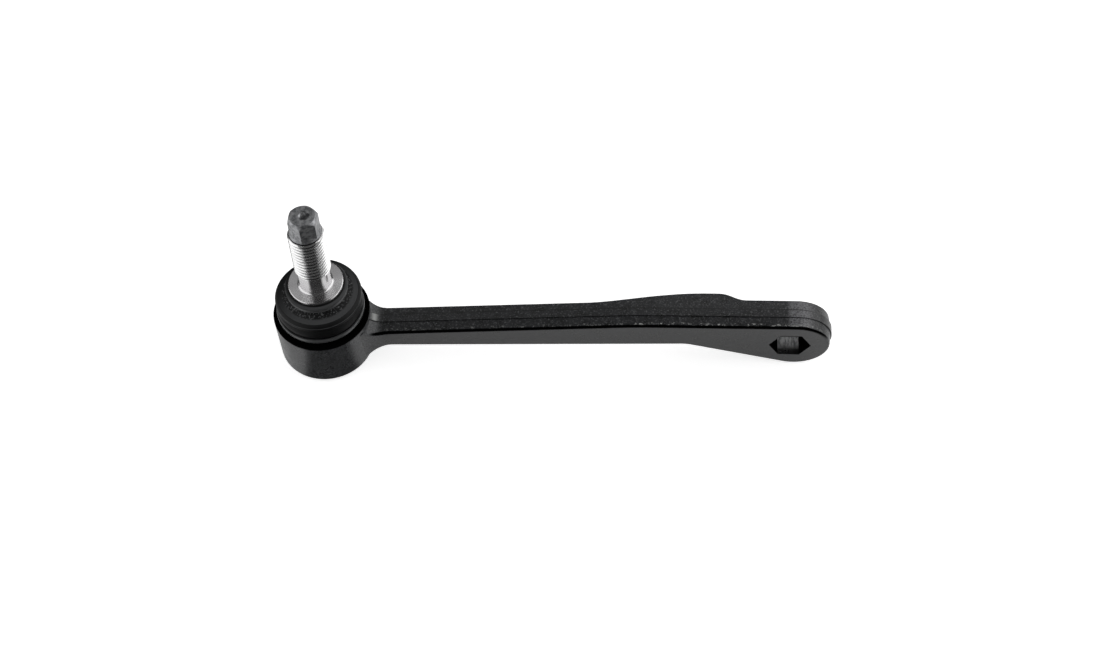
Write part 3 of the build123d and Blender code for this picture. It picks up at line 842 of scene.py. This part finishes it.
@dataclass
class BallStud:
    """Ball stud in three pieces of one turned part: shank with ball and flange, thread, and tip."""

    ball_r: float = 9.0
    ball_flat: float = 8.2
    neck_r: float = 4.8
    neck_top: float = 16.0
    seat_r: float = 6.6
    seat_low: float = 18.6
    flange_low: float = 22.2
    flange_r: float = 8.95
    flange_edge: float = 0.25
    seat_height: float = 23.45
    shank_r: float = 5.2
    shank_fillet: float = 0.9
    core_inset: float = 0.4
    core_rise: float = 1.0
    thread_low: float = 30.9
    thread_high: float = 49.1
    major_r: float = 6.0
    minor_r: float = 5.08
    pitch: float = 1.5
    crest_and_flank: float = 3 / 8
    flank: float = 5 / 16
    flank_rounding: float = 0.35
    thread_merge_mm: float = 0.005
    lead_slope_deg: float = 32.0
    lead_sink: float = 0.25
    core_sink: float = 0.15
    cone_start: float = 1.0
    cone_end: float = 3.0
    hex_half_flats: float = 4.5
    hex_turn_deg: float = 22.0
    tip_height: float = 58.2
    tip_face_r: float = 4.1
    tip_chamfer: float = 1.3
    dimple_r: float = 1.3
    dimple_depth: float = 0.35
    dimple_taper: float = 0.6
    dimple_margin: float = 0.1
    steel: TurnedSteel = field(default_factory=TurnedSteel)
    thread_steel: RolledSteel = field(default_factory=RolledSteel)
    tip_steel: UpsetSteel = field(default_factory=UpsetSteel)

    def lead_radius(self, height: float) -> float:
        """Radius of the lead cone at a height."""
        return self.major_r - (height - self.thread_high) * math.tan(math.radians(self.lead_slope_deg))

    def hex_radius(self, angle: float) -> float:
        """Distance from the axis to the hexagon's side in one direction."""
        sector = math.pi / 3
        middle = math.radians(self.hex_turn_deg) + sector / 2
        off_flat = (angle - middle + sector / 2) % sector - sector / 2
        return self.hex_half_flats / math.cos(off_flat)

    def shank(self, steel: bpy.types.Material) -> bpy.types.Object:
        """Ball, neck, boot seat, flange and plain shank."""
        flat_r = math.sqrt(self.ball_r**2 - self.ball_flat**2)
        start = math.degrees(math.atan2(-self.ball_flat, flat_r))
        end = math.degrees(math.acos(self.neck_r / self.ball_r))
        edge = self.flange_edge
        mid = (self.flange_low + self.seat_height) / 2
        profile = [(0, -self.ball_flat), *arc((0, 0), self.ball_r, start, end, steps=40)]
        profile += [(self.neck_r, self.neck_top), (self.seat_r, self.seat_low), (self.seat_r, self.flange_low)]
        profile += arc((self.flange_r - edge, self.flange_low + edge), edge, -90, 0, steps=4)
        profile += [(self.flange_r, mid)]
        profile += arc((self.flange_r - edge, self.seat_height - edge), edge, 0, 90, steps=4)
        root = self.shank_fillet
        profile += arc((self.shank_r + root, self.seat_height + root), root, 270, 180, steps=6)
        core_r, core_top = self.shank_r - self.core_inset, self.thread_low + self.core_rise
        profile += [(self.shank_r, self.thread_low), (core_r, core_top), (0, core_top)]
        return finished(lathe(profile, closed=False), "stud_shank", steel)

    def thread(self, steel: bpy.types.Material) -> bpy.types.Object:
        """Rolled helical thread, run out into the shank and the lead cone."""
        samples = 14
        steps_per_turn = 96
        start = self.thread_low - self.pitch
        turns = math.ceil((self.thread_high + 2 * self.pitch - start) / self.pitch)
        mesh = bmesh.new()
        points = []
        for step in range(samples + 1):
            share = step / samples
            rise = min(max((self.crest_and_flank - abs(share - 0.5)) / self.flank, 0.0), 1.0)
            rise -= self.flank_rounding * math.sin(math.tau * rise) / math.tau
            radius = self.minor_r + (self.major_r - self.minor_r) * rise
            points.append(mesh.verts.new((radius * MM, 0, (start + share * self.pitch) * MM)))
        edges = [mesh.edges.new(pair) for pair in zip(points, points[1:])]
        bmesh.ops.spin(
            mesh,
            geom=points + edges,
            cent=(0, 0, 0),
            axis=(0, 0, 1),
            dvec=(0, 0, self.pitch * MM / steps_per_turn),
            angle=math.tau * turns,
            steps=steps_per_turn * turns,
        )
        bmesh.ops.remove_doubles(mesh, verts=mesh.verts, dist=self.thread_merge_mm * MM)
        for vert in mesh.verts:
            height = vert.co.z / MM
            lead = self.lead_radius(height)
            limit = lead if lead > self.minor_r else lead - self.lead_sink
            limit = min(limit, max(self.minor_r, self.shank_r + (height - self.thread_low)))
            radius = math.hypot(vert.co.x, vert.co.y) / MM
            if radius > limit:
                share = limit / radius
                vert.co.x *= share
                vert.co.y *= share
        bmesh.ops.holes_fill(mesh, edges=mesh.edges, sides=0)
        bmesh.ops.recalc_face_normals(mesh, faces=mesh.faces)
        return finished(mesh, "stud_thread", steel)

    def tip(self, steel: bpy.types.Material) -> bpy.types.Object:
        """Lead cone and hexagonal tip with its chamfered end."""
        cone_steps, side_steps, chamfer_steps = 16, 6, 8
        chamfer_low = self.tip_height - self.tip_chamfer
        corner_r = self.hex_half_flats / math.cos(math.pi / 6)
        cone_low = self.thread_high + self.cone_start
        cone_high = self.thread_high + self.cone_end
        profile = [(0, cone_low), (self.minor_r - self.core_sink, cone_low)]
        for step in range(cone_steps + 1):
            profile.append((corner_r, cone_low + (cone_high - cone_low) * step / cone_steps))
        for step in range(1, side_steps + 1):
            profile.append((corner_r, cone_high + (chamfer_low - cone_high) * step / side_steps))
        for step in range(1, chamfer_steps + 1):
            inward = (self.tip_face_r - corner_r) * step / chamfer_steps
            profile.append((corner_r + inward, chamfer_low + self.tip_chamfer * step / chamfer_steps))
        dimple_low = self.tip_height - self.dimple_depth
        profile += [(self.dimple_r, self.tip_height), (self.dimple_r * self.dimple_taper, dimple_low), (0, dimple_low)]
        mesh = lathe(profile, closed=False)
        for vert in mesh.verts:
            radius = math.hypot(vert.co.x, vert.co.y) / MM
            height = vert.co.z / MM
            if radius < self.dimple_r + self.dimple_margin or height < cone_low + LEVEL_MM:
                continue
            cone = self.lead_radius(height) if height <= cone_high else 0.0
            wanted = max(min(radius, self.hex_radius(math.atan2(vert.co.y, vert.co.x))), cone)
            vert.co.x *= wanted / radius
            vert.co.y *= wanted / radius
        bmesh.ops.recalc_face_normals(mesh, faces=mesh.faces)
        return finished(mesh, "stud_tip", steel)

    def build(self) -> None:
        """Make the three pieces, which ride on the stud and stand for its node."""
        shank = self.shank(self.steel.build())
        thread = self.thread(self.thread_steel.build())
        tip = self.tip(self.tip_steel.build())
        for piece in (shank, thread, tip):
            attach(piece, Body.STUD.value)
            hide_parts("ball_stud")
            log.info("%s made, %d faces", piece.name, len(piece.data.polygons))


@dataclass
class Boot:
    """Rubber boot in two folds, and its clamp rings."""

    gap: float = 0.05
    wall: float = 1.3
    foot: float = 7.85
    collar_r: float = 13.6
    collar_top: float = 10.8
    bore_r: float = 11.95
    relief_r: float = 12.55
    relief_low: float = 9.85
    lower_fold: tuple[float, float] = (14.1, 12.5375)
    groove: tuple[float, float] = (13.2, 14.275)
    upper_fold: tuple[float, float] = (14.2, 16.0125)
    crown: tuple[float, float] = (12.6, 17.75)
    neck_r: float = 9.15
    neck_low: float = 19.55
    lip_low: float = 20.55
    lip_r: float = 10.25
    lip_top: float = 22.15
    stud_r: float = 6.65
    rubber: MouldedRubber = field(default_factory=MouldedRubber)
    ring_coat: CoatedSpring = field(default_factory=CoatedSpring)

    @staticmethod
    def bulge(low: tuple[float, float], middle: tuple[float, float], high: tuple[float, float]) -> Points:
        """Points of the circle through three points, from the first to the last.

        Args:
            low: Distance from the axis and height where the fold starts.
            middle: Its widest point.
            high: Where it ends.

        Returns:
            Pairs of distance from the axis and height.
        """
        a, b, c = (complex(*point) for point in (low, middle, high))
        w = (c - a) / (b - a)
        centre = (b - a) * (w - abs(w) ** 2) / (2j * w.imag) + a
        radius = abs(a - centre)
        start = math.degrees(math.atan2(a.imag - centre.imag, a.real - centre.real))
        end = math.degrees(math.atan2(c.imag - centre.imag, c.real - centre.real))
        return arc((centre.real, centre.imag), radius, start, end, steps=20)

    def inner(self, point: tuple[float, float], drop: float = 0.0) -> tuple[float, float]:
        """A point of the outside, set in by the wall."""
        return (point[0] - self.wall, point[1] - drop)

    def lower(self) -> Points:
        """Section of the collar and the lower fold."""
        outside = [(self.bore_r, self.foot), (self.collar_r, self.foot)]
        outside += self.bulge((self.collar_r, self.collar_top), self.lower_fold, self.groove)
        inside = self.bulge(self.inner(self.groove), self.inner(self.lower_fold), (self.relief_r, self.collar_top))
        inside += [(self.relief_r, self.relief_low), (self.bore_r, self.relief_low)]
        return outside + inside

    def upper(self) -> Points:
        """Section of the upper fold, the crown, the neck and the lip."""
        lip_round = (self.lip_top - self.lip_low) / 2
        outside = self.bulge(self.groove, self.upper_fold, self.crown)
        outside += [(self.neck_r, self.neck_low), (self.neck_r, self.lip_low)]
        outside += arc((self.lip_r - lip_round, self.lip_low + lip_round), lip_round, -90, 90, steps=10)
        inside = [(self.stud_r, self.lip_top), (self.stud_r, self.neck_low - self.wall)]
        inside += self.bulge(self.inner(self.crown, self.wall), self.inner(self.upper_fold), self.inner(self.groove))
        return outside + inside

    def build(self) -> None:
        """Make the two folds and dress the rings."""
        rubber = self.rubber.build()
        lower = finished(lathe(self.lower(), closed=True), "boot_lower_fold", rubber)
        upper = finished(lathe(self.upper(), closed=True), "boot_upper_fold", rubber)
        for piece in (lower, upper):
            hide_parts("boot")
            log.info("%s made, %d faces", piece.name, len(piece.data.polygons))
        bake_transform(lower)
        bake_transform(upper)
        coat = self.ring_coat.build()
        dress("boot_clamp_ring", coat)
        dress("boot_top_ring", coat)


@dataclass(frozen=True)
class Softbox:
    """Rectangular lamp that faces the middle of the link, with its place and size in metres."""

    name: str
    place: tuple[float, float, float]
    size: tuple[float, float]
    glow: float

    def hang(self, aim: Vector) -> None:
        """Hang the lamp.

        Args:
            aim: The point that it faces, in metres.
        """
        data = bpy.data.lights.new(self.name, "AREA")
        data.shape = "RECTANGLE"
        data.size, data.size_y = self.size
        # A glow of one looks white where it is mirrored
        data.energy = self.glow * math.pi * self.size[0] * self.size[1]
        lamp = bpy.data.objects.new(self.name, data)
        turn = (aim - Vector(self.place)).to_track_quat("-Z", "Y").to_matrix().to_4x4()
        lamp.matrix_world = Matrix.Translation(self.place) @ turn
        bpy.context.scene.collection.objects.link(lamp)


@dataclass
class Studio:
    """Pale floor, soft light and the camera of the photograph."""

    camera_mm: tuple[float, float, float] = (156.4, -701.0, 967.7)
    aim_mm: tuple[float, float, float] = (74.23, -2.89, 0.0)
    roll_deg: float = -6.97
    lens_mm: float = 120.08
    sensor_mm: float = 36.0
    foot_mm: tuple[float, float] = (13.8, -10.8)
    eye_bottom_mm: float = 152.0
    floor_size: float = 6.0
    floor_gap_mm: float = 0.05
    paper_white: str = "#f4f4f4"
    near_side_deg: tuple[float, float] = (-119.0, -39.0)
    far_side_deg: tuple[float, float] = (82.0, 146.0)
    side_blur_deg: float = 9.0
    dark_share: float = 0.96
    seen_glow: float = 0.75
    mirrored_glow: float = 0.4
    ambient: float = 0.07
    softboxes: tuple[Softbox, ...] = (
        Softbox("softbox_left", (-1.11, -0.3, 0.72), (1.9, 1.6), 1.2),
        Softbox("softbox_right", (1.19, 0.24, 0.72), (1.9, 1.6), 1.4),
        Softbox("softbox_back", (0.0, 0.75, 1.3), (1.6, 1.1), 0.3),
        Softbox("softbox_small", (0.48, 0.79, 0.98), (0.35, 0.35), 0.5),
    )

    def camera(self) -> None:
        """Place the camera by its position, its aim and its roll."""
        place = Vector(self.camera_mm) * MM
        forward = (Vector(self.aim_mm) * MM - place).normalized()
        level = forward.cross(Vector((0, 0, 1))).normalized()
        upright = level.cross(forward)
        roll = math.radians(self.roll_deg)
        right = level * math.cos(roll) + upright * math.sin(roll)
        up = upright * math.cos(roll) - level * math.sin(roll)
        data = bpy.data.cameras.new("photo_camera")
        data.lens = self.lens_mm
        data.sensor_width = self.sensor_mm
        camera = bpy.data.objects.new("photo_camera", data)
        turn = Matrix((right, up, -forward)).transposed().to_4x4()
        camera.matrix_world = Matrix.Translation(place) @ turn
        bpy.context.scene.collection.objects.link(camera)
        bpy.context.scene.camera = camera

    def floor(self) -> None:
        """Lay the floor under the foot of the cup and the bottom of the eye."""
        foot_r, foot_z = self.foot_mm
        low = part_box("link_body")[0].z / MM
        tilt = math.atan2(foot_z - low, self.eye_bottom_mm + foot_r)
        mesh = bmesh.new()
        bmesh.ops.create_grid(mesh, x_segments=1, y_segments=1, size=self.floor_size / 2)
        bmesh.ops.rotate(mesh, verts=mesh.verts, cent=(0, 0, 0), matrix=Matrix.Rotation(tilt, 3, "Y"))
        bmesh.ops.translate(mesh, verts=mesh.verts, vec=(-foot_r * MM, 0, (foot_z - self.floor_gap_mm) * MM))
        finished(mesh, "floor", self.paper())

    def sector(
        self, tree: bpy.types.NodeTree, place: bpy.types.NodeSocket, reach_deg: tuple[float, float]
    ) -> bpy.types.NodeSocket:
        """Mask of the floor between two directions from the ball.

        Args:
            tree: Node tree of the floor's material.
            place: Coordinates of the floor.
            reach_deg: First and last direction, counter-clockwise from the arm.

        Returns:
            A mask with soft edges.
        """
        first, last = reach_deg
        middle, half = math.radians(first + last) / 2, (last - first) / 2
        way = (math.cos(middle), math.sin(middle), 0)
        flat = add_node(tree, Kind.VECTOR, {0: place, 1: (1, 1, 0)}, operation="MULTIPLY").outputs[0]
        outward = add_node(tree, Kind.VECTOR, {0: flat}, operation="NORMALIZE").outputs[0]
        towards = add_node(tree, Kind.VECTOR, {0: outward, 1: way}, operation="DOT_PRODUCT").outputs["Value"]
        wide = math.cos(math.radians(half + self.side_blur_deg))
        narrow = math.cos(math.radians(half - self.side_blur_deg))
        rise = {"Value": towards, "From Min": wide, "From Max": narrow}
        return add_node(tree, Kind.RANGE, rise, interpolation_type="SMOOTHSTEP").outputs[0]

    def paper(self) -> bpy.types.Material:
        """White paper for the floor, dark in reflections where it lies in line with the camera."""
        material = bpy.data.materials.new("white paper floor")
        material.use_nodes = True
        tree = material.node_tree
        tree.nodes.clear()
        place = add_node(tree, Kind.COORDINATES).outputs["Object"]
        rays = add_node(tree, Kind.RAYS).outputs
        made: Values = {
            "near side": self.sector(tree, place, self.near_side_deg),
            "far side": self.sector(tree, place, self.far_side_deg),
            "dark share": self.dark_share,
            "mirrored": rays["Is Glossy Ray"],
            "seen": rays["Is Camera Ray"],
            "seen glow": self.seen_glow,
            "mirrored glow": self.mirrored_glow,
            "all": 1.0,
        }
        steps = (
            ("dark", "MAXIMUM", "near side", "far side"),
            ("dark", "MULTIPLY", "dark", "dark share"),
            ("dark", "MULTIPLY", "dark", "mirrored"),
            ("light", "SUBTRACT", "all", "dark"),
            ("direct", "MULTIPLY", "seen", "seen glow"),
            ("reflected", "MULTIPLY", "mirrored", "mirrored glow"),
            ("glow", "ADD", "direct", "reflected"),
            ("glow", "MULTIPLY", "glow", "light"),
        )
        for name, operation, first, second in steps:
            both = {0: made[first], 1: made[second]}
            made[name] = add_node(tree, Kind.MATH, both, operation=operation).outputs[0]
        tones = {0: made["dark"], 6: linear(self.paper_white), 7: linear("#000000")}
        colour = add_node(tree, Kind.MIX, tones, data_type="RGBA").outputs[2]
        paper = add_node(tree, Kind.DIFFUSE, {"Color": colour}).outputs[0]
        glow = add_node(tree, Kind.GLOW, {"Color": linear("#ffffff"), "Strength": made["glow"]}).outputs[0]
        both = add_node(tree, Kind.ADD, {0: paper, 1: glow}).outputs[0]
        add_node(tree, Kind.OUTPUT, {"Surface": both})
        return material

    def world(self) -> None:
        """White for the camera, dim grey for the light it gives."""
        world = bpy.data.worlds.new("studio")
        bpy.context.scene.world = world
        world.use_nodes = True
        tree = world.node_tree
        tree.nodes.clear()
        seen = add_node(tree, Kind.RAYS).outputs["Is Camera Ray"]
        strength = add_node(tree, Kind.RANGE, {"Value": seen, "To Min": self.ambient, "To Max": 1.0}).outputs[0]
        sky = add_node(tree, Kind.BACKGROUND, {"Color": linear("#ffffff"), "Strength": strength}).outputs[0]
        add_node(tree, Kind.WORLD, {"Surface": sky})

    def build(self) -> None:
        """Set the stage."""
        self.camera()
        self.floor()
        self.world()
        for softbox in self.softboxes:
            softbox.hang(Vector(self.aim_mm) * MM)
            log.info("%s hung", softbox.name)
        bpy.context.scene.view_settings.view_transform = "Standard"


def main() -> None:
    """Build the studio and the link."""
    logging.basicConfig(level=logging.INFO)
    for part in (Studio(), Forging(), BallStud(), Boot()):
        part.build()


if __name__ == "__main__":
    main()
